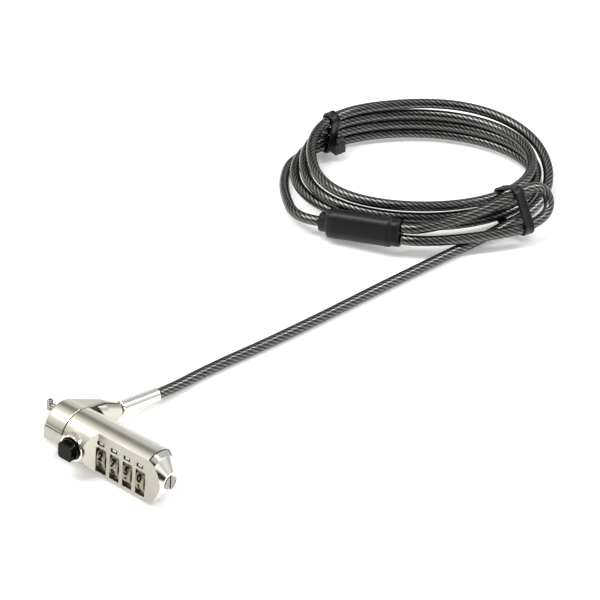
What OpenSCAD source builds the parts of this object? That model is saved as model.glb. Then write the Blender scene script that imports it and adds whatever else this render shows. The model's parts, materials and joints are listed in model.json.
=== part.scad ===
// Laptop cable lock: a four-dial barrel head with a push button and a T-bar tip,
// a swivelling cable collar, and a coiled steel cable with a loop at its far end.
// Millimetres. +X runs from the tip to the dial end of the head, +Y to the back
// where the cable leaves, +Z up. The origin is under the middle of the head.

/* [Head] */
// Radius of the head at the tip end
nose_r = 9.2; // [8.4:0.1:10]
// Radius of the head at the dial end
tail_r = 10.2; // [10:0.1:11.5]
// Length of the housing, tip end to the end cap's joint
head_len = 47.6; // [47.4:0.1:52]
// Length of the collar's bay, tip end to the housing's shoulder
collar_len = 9.7; // [9:0.1:11]
// Radius of the core that the collar turns on
core_r = 7.4; // [7:0.1:7.8]
// Chamfer round the tip end
nose_chamfer = 0.8; // [0.3:0.1:1]
// Running clearance of the collar on the core and in the seams
seam = 0.1; // [0.05:0.01:0.15]

/* [Dial face] */
// Distance of the flat dial face from the head's axis
face_y = 4.8; // [4.4:0.1:5]
// Angle that the dial face looks up from level
head_roll = 6; // [0:1:10]
// Where the dial face starts along the head
face_x = 23.4; // [22.8:0.1:24]
// Run of the sloped shoulder in front of the dial face
shoulder = 3.6; // [2:0.1:5]
// Number of dials
dial_count = 4; // [3:1:4]
// Place of the first dial along the head
dial_x = 25.2; // [24.9:0.1:25.3]
// Clearance between the last dial's room and the end cap
dial_end = 0.1; // [0.1:0.05:0.3]
// Gap between two dials
dial_gap = 2.2; // [2.1:0.05:2.6]
// Radius of a dial
dial_r = 6.2; // [6:0.1:6.4]
// Distance of the dials' shaft behind the head's axis
shaft_y = 0.5; // [0.3:0.1:0.8]
// Distance of the dials' shaft below the head's axis
shaft_drop = 2.3; // [1.8:0.1:2.6]
// Radius of the dials' shaft
shaft_r = 1.6; // [1.3:0.1:1.8]
// Gap between a dial and its bay
bay_gap = 0.4; // [0.3:0.1:0.5]
// Height of a dial window
window_h = 10.6; // [9:0.1:10.8]
// Clearance of a window beside its dial
window_gap = 0.25; // [0.2:0.05:0.4]
// Width of an index mark
index_w = 3.2; // [2:0.1:4]
// Height of an index mark
index_h = 1.7; // [1:0.1:2]
// Depth of an index mark
index_d = 0.6; // [0.3:0.1:0.8]

/* [End cap] */
// Height of the end cap's polished cone
cone_h = 6.2; // [5:0.1:8]
// Radius of the flat at the cone's tip
cone_r = 4.0; // [3.8:0.1:4.3]
// Height of the shallower band round the cone's foot
brow_h = 2.6; // [1:0.1:3]
// Radius of the cone above that band
brow_r = 8.9; // [8:0.1:9.4]
// Radius of the recess round the reset screw
recess_r = 3.3; // [3:0.1:3.6]
// Radius of the reset screw's head
reset_r = 2.6; // [2.2:0.1:2.8]
// Radius of the reset screw's stem
reset_stem_r = 1.2; // [1:0.1:1.4]
// Width of the reset screw's slot
reset_slot = 0.9; // [0.6:0.1:1.2]
// Length of the end cap's spigot in the housing
spigot_len = 0.6; // [0.4:0.1:0.6]

/* [Button] */
// Place of the button along the head
button_x = 15.3; // [15:0.1:15.6]
// Height of the button above the head's axis
button_z = 0.5; // [0:0.1:0.8]
// Radius of the button's round flange
button_r = 4.1; // [3.8:0.1:4.2]
// Width of the button's square front
button_w = 6.4; // [5:0.1:6.8]
// Distance of the button's front from the head's axis
button_y = 13.5; // [12.8:0.1:14.5]
// Travel of the button
button_travel = 2.2; // [2:0.1:2.4]
// Outer radius of the button's bezel
bezel_r = 5.3; // [5:0.1:5.5]
// Distance of the bezel's front from the head's axis
bezel_y = 10.3; // [10:0.1:10.6]

/* [Lock tip] */
// Length of the T-bar's head
tbar_l = 4.5; // [4:0.1:6]
// Thickness of the T-bar's head across its length
tbar_w = 2.2; // [1.8:0.1:2.4]
// Depth of the T-bar's head along the tip's axis
tbar_d = 1.3; // [1:0.1:1.6]
// Radius of the T-bar's neck
neck_r = 1.05; // [0.8:0.05:1.1]
// Distance from the tip end of the head to the back of the T-bar
tip_reach = 4.3; // [3.8:0.1:5]
// Radius of the spindle that turns the T-bar
spindle_r = 1.8; // [1.6:0.1:1.9]
// Height of the spindle above the head's axis
spindle_z = 4.7; // [4.6:0.1:4.8]
// Distance of the spindle behind the head's axis
spindle_y = 0; // [-0.2:0.1:0.3]

/* [Cable arm] */
// Where the arm's centre line crosses the head's axis
arm_x = 5.7; // [5:0.1:6]
// Angle of the arm towards the dial end
arm_yaw = 8.2; // [6:0.1:10]
// Angle of the arm below level
arm_pitch = 9; // [7:0.5:10]
// Length of the arm from the head's axis
arm_len = 21.9; // [20:0.1:24]
// Radius of the arm's end
arm_r = 3.1; // [3:0.1:3.4]
// Height of the arm's shoulder
arm_neck_h = 13.6; // [9:0.2:14]
// Width of the arm's shoulder
arm_neck_w = 8.4; // [7:0.2:9]
// Gap between the arm and the ferrule
arm_gap = 0.6; // [0.5:0.05:0.8]
// Radius of the ferrule
ferrule_r = 2.9; // [2.7:0.05:3.1]
// Length of the ferrule
ferrule_len = 17.9; // [16:0.1:19]
// Radius of the swivel pin
pin_r = 1.4; // [1.2:0.1:1.5]
// Length of the swivel pin inside the ferrule
pin_seat = 6; // [4:0.5:8]
// Swivel of the cable arm round the head, in degrees
arm_swing = 75; // [60:5:80]

/* [Cable] */
// Diameter of the cable over its jacket
cable_d = 4.2; // [3.8:0.1:4.25]
// Turns of the coil
coil_turns = 3.46; // [3.44:0.01:3.48]
// Half length of the coil's oval, to the middle of the pile
coil_a = 51.2; // [50:0.1:52]
// Half width of the coil's oval, to the middle of the pile
coil_b = 35.7; // [35:0.1:38]
// Spacing of the coil's strands
coil_step = 4.8; // [4.8:0.05:5]
// Thickness of the ties' straps
tie_t = 0.9; // [0.7:0.1:1]
// Width of the ties' straps
tie_w = 4.4; // [3.5:0.1:6]
// Length of the black sleeve over the loop's crimp
sleeve_len = 34; // [30:0.5:36]
// Width of the sleeve across its two strands
sleeve_w = 12.0; // [11.6:0.1:13]
// Thickness of the sleeve
sleeve_h = 8.4; // [8:0.1:9]
// Length of the sleeve's end collars
sleeve_collar = 3.6; // [3.2:0.1:5]
// Width of the collar that one strand enters
sleeve_neck_w = 7.8; // [7.4:0.1:10]
// Width of the collar that the loop's two strands leave
sleeve_mouth_w = 11; // [10.4:0.1:11.4]

/* [Hidden] */
$fn = 48;
eps = 0.01;

// Heights and middles of the head, which the origin stands under
floor_z = -tail_r;
arm_dir = [sin(arm_yaw) * cos(arm_pitch), cos(arm_yaw) * cos(arm_pitch), -sin(arm_pitch)];
arm_base = [arm_x, 0, 0];
ferrule_start = arm_len + arm_gap;
ferrule_end = ferrule_start + ferrule_len;
ferrule_chamfer = 0.4;
pin_head = 10;
neck_at = 13;
tip_front = -tip_reach - tbar_d;
cap_front = head_len + cone_h;
button_front = button_y * cos(head_roll) + (button_w / 2 - button_z) * sin(head_roll);
back_y = (ferrule_end - ferrule_chamfer) * arm_dir.y + ferrule_r * sqrt(1 - arm_dir.y * arm_dir.y);
mid_x = (tip_front + cap_front) / 2;
mid_y = (back_y - button_front) / 2;

// The dials share the length between the first one's place and the end cap's spigot
dial_pitch = (head_len - spigot_len - dial_end - dial_x) / (dial_count - 0.5);
dial_w = dial_pitch - dial_gap;

// Head: radii along the axis, and the pieces' seats
function head_r(x) = nose_r + (tail_r - nose_r) * x / head_len;
shaft_z = -shaft_drop;
bay_r = dial_r + bay_gap;
bay_start = dial_x - dial_pitch / 2 - 1.6;
wall_start = bay_start - 1.6;
cavity_start = collar_len + 1.3;
spigot_r = tail_r - 1.9;
spigot_start = head_len - spigot_len;
plate_t = 1.2;
plate_boss = 0.6;
plate_r = nose_r - 1;
nose_open = [162.4, 215];
collar_from = nose_open[1] - head_roll - 360 + arm_swing + 1.2;
collar_to = nose_open[0] - head_roll - 1.2;
core_fit = 0.03;
core_len = cavity_start;
dial_zs = [for (i = [0:dial_count - 1]) dial_x + i * dial_pitch];
window_w = dial_w + 2 * window_gap;
window_mid = shaft_z - 0.5;
face_wall = 0.9;
index_shift = -0.4;
index_z = window_mid + window_h / 2 + 1.1 + index_h / 2;

// Detent spring: a strip behind the dials with a rib on each
detent_t = 0.35;
detent_w = 2.8;
detent_rib_w = 3;
detent_rib_h = 1;
detent_fit = 0.12;
detent_room = 0.3;
washer_r = 3.4;

// Dials: the hub in the dial, its flange and the bar that the flange blocks
hub_r = 3.0;
hub_fit = 0.06;
hub_len = dial_pitch - 0.2;
flange_r = 4.4;
flange_t = 0.5;
bar_angle = 60;
bar_t = 1.2;
bar_w = 1.8;
bar_r = dial_r + 0.4;
bar_travel = 0.6;
bar_tooth = 0.4;
slot_gap = 0.25;

// Button, rack and pinion
rack_pitch_r = button_travel / (PI / 2);
tooth_count = 8;
tooth_h = 0.3;
rack_step = 2 * PI * rack_pitch_r / tooth_count;
tooth_t = 0.28;
rack_w = 2.4;
stub_r = 0.8;
spring_turns = 4;
rack_t = 1.4;
rack_z = spindle_z - rack_pitch_r - tooth_h - 0.2;
gear_w = 2.0;
flange_back = 5;
cage_from = button_travel - flange_back + 0.2;
bezel_back = core_r + 0.12;
shaft_seat = 1.6;
button_gap = 0.25;

// Coil: strand places, in the oval's own axes
coil_mid = [0.4, 213];
coil_turn = 39.8;
coil_start = -50;
coil_floor = tie_t + 0.15;
coil_layers = 4;
bottom_z = coil_floor + cable_d / 2;
layer_turns = 1;
layer_lead = 0.11;
layer_step = coil_step - 0.1;
coil_swing = 0.5;
entry_out = cable_d + 0.75;
entry_z = bottom_z + 0.05;
entry_q = 0.2;
over_z = bottom_z + layer_step * (coil_layers - 2);
oval_x = -3.2;
// The upper loops are drawn in at the oval's two ends
pull_in = [9, 3.2];
tie_reach = 24;
tie_fit = 0.15;
knot_in = 1.5;
coil_sides = 6;
tube_sides = 10;
coil_rings = 24;

// Straight run, from the ferrule's end to the coil: x and y from the tip end of the
// head's axis, height over the surface that the cable lies on
run_route = [
    [12.7, 48, 2.9], [13.4, 54, 2.5], [14.6, 62, 2.25], [17.2, 74, 2.2], [20.6, 87.5, 2.2],
    [24.7, 106, 2.2], [28.7, 126, 2.2], [32.5, 146, 2.2], [36.6, 166, 2.25], [40.4, 183, 2.6],
    [43.2, 193.5, 3]];

// Lead from the coil's last turn down outside the pile, then to the sleeve: along and
// across the oval, and height
lead_turns = 0.16;
lead_out = 2.6;
lead_drop = 0.3;
lead_route = [[-55.4, 6, 3.1], [-56.2, -2.6, 3.7], [-55.6, -11.4, 4.4], [-54.2, -19.4, 5.1],
    [-52.7, -25.3, 5.7], [-50.2, -29.2, 6.2], [-47.9, -31.3, 6.5]];

// Loop at the cable's end, from the sleeve out along its upper strand and back
eye_route = [[-1, -46.4, 12.2], [6, -44.8, 12.7], [14, -42.2, 13.8], [22, -39.7, 15.6], [29.2, -36.9, 17.6],
    [36.2, -33.4, 19.2], [42.2, -29.4, 19.9], [45.7, -27.3, 19], [48.6, -26.8, 16.6], [50.2, -28.5, 13.5],
    [49.8, -31.7, 10.9], [47.4, -35, 9.5], [43.6, -38.1, 8.8], [39.6, -40.4, 8.2], [34.6, -42.2, 7.7],
    [28.2, -43.6, 7.3], [21, -45.2, 7.1], [13.6, -46.6, 7.1], [6, -47.8, 7.2], [-1, -48.4, 7.4]];
sleeve_mid = [-25.55, -39.95, 8.1];

function from_nose(p) = [p.x - mid_x, p.y - mid_y, p.z];
function from_coil(p) = from_nose([
    coil_mid.x + p.x * cos(coil_turn) - p.y * sin(coil_turn),
    coil_mid.y + p.x * sin(coil_turn) + p.y * cos(coil_turn),
    p.z]);
function on_arm(t) = arm_base + t * arm_dir;
function over_floor(p) = [p.x, p.y, p.z - floor_z];
function unit(v) = v / norm(v);

// Piled loops: in and out at a steady rate, up a layer in the half turn round each end
function zigzag(q) = let (k = floor(q / layer_turns), f = q / layer_turns - k)
    k % 2 == 0 ? 1 - 2 * f : 2 * f - 1;
function ease(f) = f <= 0 ? 0 : f >= 1 ? 1 : f;
function climb(q) = let (rise = [for (k = [1:coil_layers - 1]) ease((q - k * layer_turns) / 0.5 + 0.5)])
    rise * [for (r = rise) 1];
function smooth(f) = f <= 0 ? 0 : f >= 1 ? 1 : f * f * (3 - 2 * f);
function oval(q, out, z, level = 0) = let (a = coil_start + 360 * q,
    drawn = pull_in[cos(a) > 0 ? 1 : 0] * pow(cos(a), 2) * smooth(level / (coil_layers - 1)))
    [oval_x + (coil_a + out - drawn) * cos(a), (coil_b + out) * sin(a), z];
// The first turn climbs outside the pile, then rolls onto its top
function entry_rise(f) = f * f * (3 - 2 * f) + 0.75 * f * f * (f - 1);
function entry_height(q) = q < entry_q ? entry_z + (over_z - entry_z) * entry_rise(q / entry_q)
    : over_z + layer_step * sin(90 * ease((q - entry_q) / entry_q));
function entry_wide(q) = entry_out * cos(90 * ease((q - entry_q) / entry_q));
function coil_point(q) = let (level = q < 2 * entry_q ? (entry_height(q) - bottom_z) / layer_step
        : coil_layers - 1 - climb(q + layer_lead))
    oval(q, coil_swing * zigzag(q + layer_lead) + entry_wide(q), bottom_z + layer_step * level, level);
function lead_point(f) = oval(coil_turns + f * lead_turns,
    coil_swing * zigzag(coil_turns + layer_lead) + lead_out * smooth(f), bottom_z - lead_drop * smooth(f));
lead_rings = lead_turns * coil_rings;
coil_path = concat([for (i = [0:coil_turns * coil_rings]) coil_point(i / coil_rings)],
    [for (i = [1:lead_rings]) lead_point(i / lead_rings)]);
sleeve_dir = unit([31.5, -11.9, 2.6]);
sleeve_from = sleeve_mid - sleeve_len / 2 * sleeve_dir;
sleeve_to = sleeve_mid + sleeve_len / 2 * sleeve_dir;
coil_route = [for (p = concat(coil_path, lead_route,
    [sleeve_from - cable_d * sleeve_dir, sleeve_from])) from_coil(p)];
coil_in = unit(coil_route[0] - coil_route[1]);
run_path = concat(
    [for (t = [0, cable_d]) from_nose(over_floor(on_arm(ferrule_end + t)))],
    [for (p = run_route) from_nose(p)],
    [coil_route[0] + cable_d * coil_in, coil_route[0]]);
eye_side = unit(cross(sleeve_dir, [0, 0, 1]));
eye_up = cross(eye_side, sleeve_dir);
strand_gap = cable_d / 2 + 0.25;
eye_high = sleeve_to + strand_gap * (0.35 * eye_side * -1 + 0.94 * eye_up);
eye_low = sleeve_to - strand_gap * (0.35 * eye_side * -1 + 0.94 * eye_up);
eye_path = [for (p = concat([eye_high, eye_high + cable_d * sleeve_dir], eye_route,
    [eye_low + cable_d * sleeve_dir, eye_low])) from_coil(p)];

// Tubes swept along a route, as triangles
function heading(p, i) = i == 0 ? unit(p[1] - p[0])
    : i == len(p) - 1 ? unit(p[i] - p[i - 1])
    : unit(unit(p[i + 1] - p[i]) + unit(p[i] - p[i - 1]));
function ring_at(c, dir, r, n) = let (s = unit(cross(dir, [0, 0, 1])), w = cross(s, dir))
    [for (k = [0:n - 1]) c + r * (cos(360 * k / n) * s + sin(360 * k / n) * w)];

module sweep(path, r, n) {
    rings = len(path);
    points = [for (i = [0:rings - 1]) each ring_at(path[i], heading(path, i), r, n)];
    sides = [for (i = [0:rings - 2], k = [0:n - 1]) let (a = i * n + k, b = i * n + (k + 1) % n)
        each [[a, b, a + n], [b, b + n, a + n]]];
    caps = [for (k = [1:n - 2]) each [[0, k + 1, k], [(rings - 1) * n, (rings - 1) * n + k, (rings - 1) * n + k + 1]]];
    polyhedron(points, concat(sides, caps));
}

// Least gap of a route to its own other turns, and its length
function gap_to_self(p, skip, d) = min([for (i = [0:len(p) - skip - 1])
    min([for (j = [i + skip:len(p) - 1]) norm(p[i] - p[j])])]) - d;
function route_length(p) = [for (i = [1:len(p) - 1]) norm(p[i] - p[i - 1])] * [for (i = [1:len(p) - 1]) 1];
function gap_between(p, q, d) = min([for (a = p) min([for (b = q) norm(a - b)])]) - d;
echo(eye_gap = gap_between(eye_path, coil_route, cable_d), run_gap = gap_between(eye_path, run_path, cable_d));
echo(coil_gap = gap_to_self(coil_route, 8, cable_d));
echo(cable_length = route_length(run_path) + route_length(coil_route) + route_length(eye_path) + 2 * sleeve_len);
echo(mid = [mid_x, mid_y], coil_end = coil_path[len(coil_path) - 1]);

// Placing: the head's own axes stand at its tip end, on the axis
module on_head() {
    translate([-mid_x, -mid_y, -floor_z]) children();
}

// The head's body is rolled so that its dial face looks up a little
module on_body() {
    on_head() rotate([-head_roll, 0, 0]) children();
}

module along_x(x, y = 0, z = 0) {
    translate([x, y, z]) rotate([0, 90, 0]) children();
}

module rod_x(r, from, to, y = 0, z = 0) {
    along_x(from, y, z) cylinder(r = r, h = to - from);
}

module along_arm(t) {
    translate(on_arm(t)) rotate([0, 0, -arm_yaw]) rotate([-90 - arm_pitch, 0, 0]) children();
}

module turned_x(profile, from = 0, to = 360) {
    rotate([90, 0, 90]) rotate([0, 0, from]) rotate_extrude(angle = to - from, $fn = 96) polygon(profile);
}

// A chamfered tube about the head's axis that follows the head's taper
module head_shell(x0, x1, inner_r, from = 0, to = 360, lip = 0) {
    turned_x([[inner_r, x0], [head_r(x0) - lip, x0], [head_r(x0 + lip), x0 + lip],
        [head_r(x1), x1], [inner_r, x1]], from, to);
}

module face_cut() {
    translate([0, 0, -tail_r - 1]) linear_extrude(2 * tail_r + 2)
        polygon([[face_x, -face_y], [face_x - shoulder, -head_r(face_x)],
            [face_x - 3 * shoulder, -3 * tail_r], [cap_front + 5, -3 * tail_r], [cap_front + 5, -face_y]]);
}

module rounded_square(w, h, r) {
    square([w - 2 * r, h], center = true);
    square([w, h - 2 * r], center = true);
    for (x = [-1, 1], y = [-1, 1]) translate([x * (w / 2 - r), y * (h / 2 - r)]) circle(r);
}

// Direction from the dials' shaft to the lock bar
module at_bar(x) {
    translate([x, shaft_y, shaft_z]) rotate([bar_angle, 0, 0]) children();
}

module housing() {
    color([0.80, 0.78, 0.71]) on_body() difference() {
        head_shell(0, head_len, 0, 0, 360, nose_chamfer);
        // bay that the collar turns in, all but the piece beside the button
        turned_x([[core_r - 1, -1], [tail_r + 2, -1], [tail_r + 2, collar_len], [core_r - 1, collar_len]],
            nose_open[1], nose_open[0] + 360);
        face_cut();
        // seat of the core, and the cavity behind it
        rod_x(core_r + core_fit, -1, cavity_start + eps);
        rod_x(core_r - 0.5, cavity_start, wall_start);
        // seat of the nose plate, in the sector beside the collar
        rod_x(plate_r + 0.05, -1, plate_t + 0.1);
        // dial bay, open to the end cap, behind the wall that the windows cross
        intersection() {
            rod_x(bay_r, bay_start, head_len + 1, shaft_y, shaft_z);
            translate([0, face_wall - face_y, -tail_r]) cube([2 * head_len, 2 * tail_r, 2 * tail_r]);
        }
        rod_x(spigot_r + core_fit, spigot_start, head_len + 1);
        for (x = dial_zs) {
            translate([x - window_w / 2, -tail_r - 1, window_mid - window_h / 2])
                cube([window_w, tail_r - 2, window_h]);
            translate([x + index_shift - index_w / 2, -face_y - 1, index_z - index_h / 2])
                cube([index_w, 1 + index_d, index_h]);
        }
        // shaft's seat and the bar's slot through the bulkhead
        rod_x(shaft_r + 0.02, wall_start - 1, bay_start + 1, shaft_y, shaft_z);
        rod_x(stub_r + 0.06, wall_start - 1, wall_start + 0.8, spindle_y, spindle_z);
        at_bar(wall_start - 1) translate([0, bar_r - slot_gap, -bar_w / 2 - slot_gap])
            cube([spigot_start - wall_start + 1, bar_t + 2 * slot_gap, bar_w + 2 * slot_gap]);
        // groove for the detent spring at the back of the bay
        translate([bay_start, shaft_y + bay_r - 2 * detent_room, shaft_z - detent_w / 2 - detent_room])
            cube([spigot_start - bay_start - detent_room, 3 * detent_room + detent_t + 0.15, detent_w + 2 * detent_room]);
        // button's bezel seat and its way in
        translate([button_x, 0, button_z]) rotate([90, 0, 0]) {
            translate([0, 0, bezel_back]) cylinder(r = bezel_r + 0.02, h = 20);
            cylinder(r = button_r + button_gap, h = 20);
        }
    }
}

module end_cap() {
    color([0.86, 0.85, 0.80]) on_body() difference() {
        union() {
            turned_x([[0, head_len], [tail_r, head_len], [brow_r, head_len + brow_h],
                [cone_r, cap_front], [0, cap_front]]);
            rod_x(spigot_r, spigot_start, head_len + eps);
        }
        face_cut();
        rod_x(shaft_r + 0.05, spigot_start - 1, head_len + shaft_seat + 0.1, shaft_y, shaft_z);
        rod_x(recess_r, cap_front - 0.4, cap_front + 1);
        rod_x(reset_r + 0.08, cap_front - 1.3, cap_front + 1);
        rod_x(reset_stem_r + 0.06, head_len + shaft_seat + 0.9, cap_front);
    }
}

module nose_core() {
    color([0.62, 0.61, 0.58]) on_body() difference() {
        rod_x(core_r, plate_t + 0.1, core_len);
        rod_x(spindle_r + 0.06, -1, core_len + 1, spindle_y, spindle_z);
        for (s = [-1, 1]) rod_x(0.8, -1, core_len - 1.5, s * 4.4, -3);
        translate([button_x, 0, button_z]) rotate([90, 0, 0]) cylinder(r = button_r + button_gap, h = 20);
    }
}

module nose_plate() {
    color([0.70, 0.69, 0.65]) on_body() difference() {
        union() {
            rod_x(plate_r, 0.1, plate_t);
            rod_x(spindle_r + 0.9, -plate_boss, 0.2, spindle_y, spindle_z);
        }
        rod_x(spindle_r + 0.06, -2, 2, spindle_y, spindle_z);
        for (s = [-1, 1]) {
            rod_x(0.85, -1, 2, s * 4.4, -3);
            rod_x(1.5, -1, 0.8, s * 4.4, -3);
        }
    }
}

module nose_screws() {
    color([0.55, 0.55, 0.55]) on_body() for (s = [-1, 1]) difference() {
        union() {
            rod_x(1.4, 0.15, 0.8, s * 4.4, -3);
            rod_x(0.75, 0.7, core_len - 2, s * 4.4, -3);
        }
        translate([0, s * 4.4 - 1.6, -3.2]) cube([0.45, 3.2, 0.4]);
    }
}

module button_bezel() {
    color([0.88, 0.87, 0.83]) on_body() translate([button_x, 0, button_z]) rotate([90, 0, 0])
        rotate_extrude(angle = 360, $fn = 96) polygon([
            [button_r + button_gap, bezel_back + 0.02], [bezel_r, bezel_back + 0.02],
            [bezel_r, bezel_y - 0.3], [bezel_r - 0.3, bezel_y], [button_r + button_gap + 0.15, bezel_y],
            [button_r + button_gap, bezel_y - 0.15]]);
}

// Fixed bridge behind the button, with two rails that guide the rack
module button_cage() {
    color([0.45, 0.45, 0.44]) on_body() translate([button_x, 0, 0]) difference() {
        intersection() {
            translate([-2.3, cage_from, -1.6]) cube([4.6, 10, 4.2]);
            rod_x(core_r - 0.55, -4, 4);
        }
        translate([-rack_w / 2 - 0.1, cage_from - 1, rack_z - rack_t - 0.1]) cube([rack_w + 0.2, 12, 6]);
    }
}

module dial_shaft() {
    color([0.75, 0.75, 0.74]) on_body()
        rod_x(shaft_r, wall_start - 0.6, head_len + shaft_seat, shaft_y, shaft_z);
}

module dial_washer() {
    color([0.6, 0.6, 0.58]) on_body() difference() {
        rod_x(washer_r, bay_start + 0.02, dial_x - hub_len / 2 - 0.1, shaft_y, shaft_z);
        rod_x(shaft_r + 0.03, bay_start - 1, dial_x, shaft_y, shaft_z);
    }
}

module detent_spring() {
    color([0.72, 0.71, 0.68]) on_body() translate([0, shaft_y, shaft_z]) {
        translate([bay_start + 0.1, bay_r + detent_room, -detent_w / 2])
            cube([spigot_start - bay_start - 2 * detent_room, detent_t, detent_w]);
        for (x = dial_zs) translate([x - detent_rib_w / 2, dial_r + detent_fit, -detent_rib_h / 2])
            cube([detent_rib_w, bay_r + detent_room - dial_r - detent_fit, detent_rib_h]);
    }
}

module tip_spring() {
    color([0.66, 0.66, 0.64]) on_body() translate([core_len + 0.5, spindle_y, spindle_z])
        sweep([for (i = [0:12 * spring_turns])
            [i * 0.5 / 12, 1.3 * cos(30 * i), 1.3 * sin(30 * i)]], 0.2, 6);
}

module swivel_collar() {
    color([0.82, 0.80, 0.74]) on_head() difference() {
        union() {
            head_shell(0, collar_len - 2 * seam, core_r + seam, collar_from, collar_to, nose_chamfer);
            hull() {
                turned_x([[0, 0.9], [nose_r - 0.1, 0.9], [nose_r - 0.05, collar_len - 0.8], [0, collar_len - 0.8]],
                    collar_from + 23, 118.5);
                for (s = [-1, 1]) along_arm(neck_at) translate([0, s * (arm_neck_h - arm_neck_w) / 2, 0])
                    cylinder(d = arm_neck_w, h = 1, $fn = 32);
                along_arm(arm_len - 2.4) cylinder(r = arm_r, h = 2, $fn = 32);
                along_arm(arm_len - 0.5) cylinder(r1 = arm_r, r2 = arm_r - 0.4, h = 0.5, $fn = 32);
            }
        }
        rod_x(core_r + seam, -1, collar_len + 1);
        rod_x(plate_r + 0.1, -1, plate_t + 0.1);
        // the arm's overhang clears the housing as the collar turns
        rod_x(tail_r + 1, collar_len - seam, head_len);
        along_arm(5) cylinder(r = pin_r + 1.2, h = pin_head - 5 + 1.6);
        along_arm(5) cylinder(r = pin_r + 0.06, h = arm_len);
    }
}

module swivel_washer() {
    color([0.12, 0.12, 0.12]) on_head() along_arm(arm_len + 0.1) difference() {
        cylinder(r = ferrule_r - 0.5, h = arm_gap - 0.2);
        translate([0, 0, -1]) cylinder(r = pin_r + 0.03, h = 3);
    }
}

module swivel_pin() {
    color([0.5, 0.5, 0.5]) on_head() {
        along_arm(pin_head) cylinder(r = pin_r, h = ferrule_start + pin_seat - pin_head);
        along_arm(pin_head) cylinder(r = pin_r + 1, h = 1.4);
    }
}

module ferrule() {
    color([0.87, 0.86, 0.82]) on_head() along_arm(ferrule_start) difference() {
        rotate_extrude(angle = 360) polygon([[0, 0], [ferrule_r - ferrule_chamfer, 0], [ferrule_r, ferrule_chamfer],
            [ferrule_r, ferrule_len - ferrule_chamfer], [ferrule_r - ferrule_chamfer, ferrule_len], [0, ferrule_len]]);
        translate([0, 0, -1]) cylinder(r = pin_r + 0.02, h = pin_seat + 1.1);
    }
}

module lock_tip() {
    color([0.84, 0.83, 0.79]) on_body() translate([0, spindle_y, spindle_z]) {
        rod_x(neck_r, -tip_reach - 0.2, -plate_boss);
        translate([tip_front, 0, 0]) rotate([90, 0, 90]) linear_extrude(tbar_d)
            rounded_square(tbar_w, tbar_l, 0.5);
    }
}

module tip_spindle() {
    color([0.74, 0.73, 0.70]) on_body() translate([0, spindle_y, spindle_z]) {
        rod_x(spindle_r, -plate_boss, core_len);
        rod_x(stub_r, core_len - eps, wall_start + 0.6);
    }
}

// Turned by the rack, a quarter turn over the button's travel
module tip_pinion() {
    color([0.7, 0.66, 0.5]) on_body() translate([button_x - gear_w / 2, spindle_y, spindle_z]) difference() {
        union() {
            rod_x(rack_pitch_r - 0.4, 0, gear_w);
            for (i = [0:tooth_count - 1]) rotate([i * 360 / tooth_count, 0, 0])
                translate([0, stub_r + 0.05, -tooth_t / 2]) cube([gear_w, rack_pitch_r + tooth_h - stub_r - 0.05, tooth_t]);
        }
        rod_x(stub_r + 0.02, -1, gear_w + 1);
    }
}

module push_button() {
    color([0.05, 0.05, 0.05]) on_body() translate([button_x, 0, button_z]) rotate([90, 0, 0]) {
        translate([0, 0, flange_back]) cylinder(r = button_r, h = bezel_y + 1.3 - flange_back);
        translate([0, 0, bezel_y + 1.2]) linear_extrude(button_y - bezel_y - 1.2)
            rounded_square(button_w, button_w, 1.2);
    }
}

module button_rack() {
    color([0.3, 0.3, 0.3]) on_body() translate([button_x - rack_w / 2, 0, 0]) {
        translate([0, -flange_back + 0.02, rack_z - rack_t]) cube([rack_w, flange_back + 3.2, rack_t]);
        for (i = [0:4]) translate([0, (i - 2.5) * rack_step - tooth_t / 2, rack_z - eps])
            cube([rack_w, tooth_t, tooth_h * 2 + 0.2]);
    }
}

module lock_bar() {
    color([0.68, 0.67, 0.62]) on_body() at_bar(0) {
        translate([wall_start - 1.2, bar_r, -bar_w / 2])
            cube([dial_zs[dial_count - 1] - wall_start + 2.2, bar_t, bar_w]);
        for (x = dial_zs) translate([x - dial_pitch + dial_w / 2 + 0.1, hub_r + 0.5, -0.5])
            cube([bar_tooth, bar_r - hub_r - 0.5 + eps, 1]);
    }
}

module dial(i) {
    x = dial_zs[i];
    color([0.80, 0.79, 0.74]) on_body() difference() {
        turned_dial(x);
        rod_x(hub_r, x - dial_w, x + dial_w, shaft_y, shaft_z);
        for (k = [0:9]) translate([x - dial_w, shaft_y, shaft_z]) rotate([180 + 36 * k, 0, 0])
            translate([0, dial_r, 0]) rotate([45, 0, 0]) translate([0, -0.35, -0.35]) cube([2 * dial_w, 0.7, 0.7]);
    }
}

module turned_dial(x) {
    translate([0, shaft_y, shaft_z]) turned_x([[0, x - dial_w / 2], [dial_r - 0.3, x - dial_w / 2],
        [dial_r, x - dial_w / 2 + 0.3], [dial_r, x + dial_w / 2 - 0.3],
        [dial_r - 0.3, x + dial_w / 2], [0, x + dial_w / 2]]);
}

module dial_hub(i) {
    x = dial_zs[i];
    color([0.72, 0.6, 0.35]) on_body() difference() {
        union() {
            rod_x(hub_r - hub_fit, x - hub_len / 2, x + hub_len / 2, shaft_y, shaft_z);
            rod_x(flange_r, x - hub_len / 2, x - hub_len / 2 + flange_t, shaft_y, shaft_z);
        }
        rod_x(shaft_r + 0.08, x - dial_pitch, x + dial_pitch, shaft_y, shaft_z);
        at_bar(x - dial_pitch) translate([0, hub_r + 0.3, -0.7]) cube([dial_pitch, 3, 1.4]);
    }
}

module reset_screw() {
    color([0.83, 0.82, 0.78]) on_body() difference() {
        union() {
            rod_x(reset_r, cap_front - 1.25, cap_front + 0.1);
            rod_x(reset_stem_r, head_len + shaft_seat + 1, cap_front);
        }
        translate([cap_front - 0.7, -reset_slot / 2, -reset_r - 1]) cube([2, reset_slot, 2 * reset_r + 2]);
    }
}

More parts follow.
